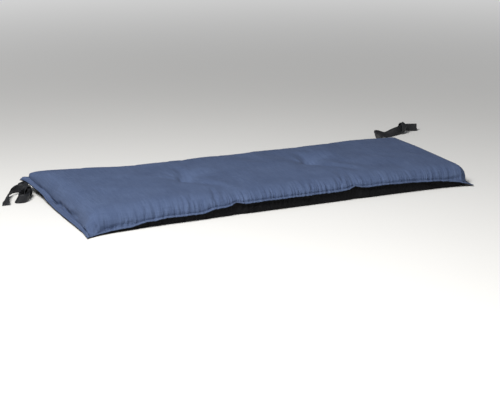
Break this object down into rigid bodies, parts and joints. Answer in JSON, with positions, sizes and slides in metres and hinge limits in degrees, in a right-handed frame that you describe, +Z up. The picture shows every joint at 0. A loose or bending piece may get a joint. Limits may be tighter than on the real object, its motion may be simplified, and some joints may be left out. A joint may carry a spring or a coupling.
{
  "type": "bench cushion",
  "caption": "Long filled seat cushion for a garden bench, tufted, with a woven top panel, a dark base panel and a ribbon tie at each back corner.",
  "frame": {"origin": "middle of the flat underside, on the surface that the cushion rests on", "axes": "+X along the cushion to its right end, -Y to its front edge, +Z up"},
  "size_m": [1.5233, 0.7604, 0.0711],
  "materials": {
    "base_cloth": "near-black plain-woven cloth, matt",
    "top_cloth": "denim-blue plain-woven cloth with lighter slubs, matt",
    "tie_ribbon": "black woven ribbon, faint sheen"
  },
  "bodies": {
    "root": {"cushion": "base_cloth", "top_panel": "top_cloth", "tie_left": "tie_ribbon", "tie_right": "tie_ribbon"}
  },
  "joints": []
}
